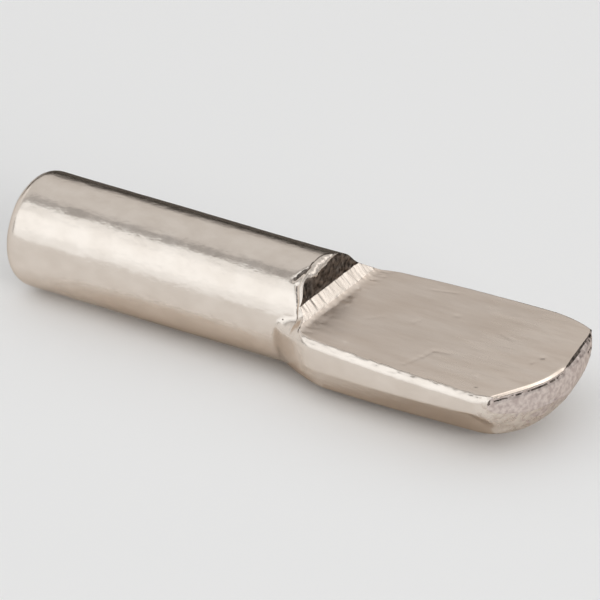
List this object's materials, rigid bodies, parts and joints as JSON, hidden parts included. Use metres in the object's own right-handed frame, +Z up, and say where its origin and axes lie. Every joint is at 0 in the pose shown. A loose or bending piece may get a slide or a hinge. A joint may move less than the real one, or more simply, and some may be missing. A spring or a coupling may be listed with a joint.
{
  "type": "shelf support pin",
  "caption": "Plated steel shelf support pin: a round shank with a rounded end, a square shoulder with a bevel under it, and a flat-topped spoon paddle with a bowed tip.",
  "frame": {"origin": "on the shank's axis, where its neck starts to swell, which is the plane of the hole's mouth in the cabinet side", "axes": "+X along the pin from the shank to the paddle's tip, +Z up out of the flat that the shelf rests on, +Y across to the left as seen from behind the shank"},
  "size_m": [0.026, 0.0082, 0.0053],
  "materials": {
    "nickel": "satin nickel plate over cold-forged steel, with fine forging marks"
  },
  "bodies": {
    "root": {"support_pin": "nickel"}
  },
  "joints": []
}
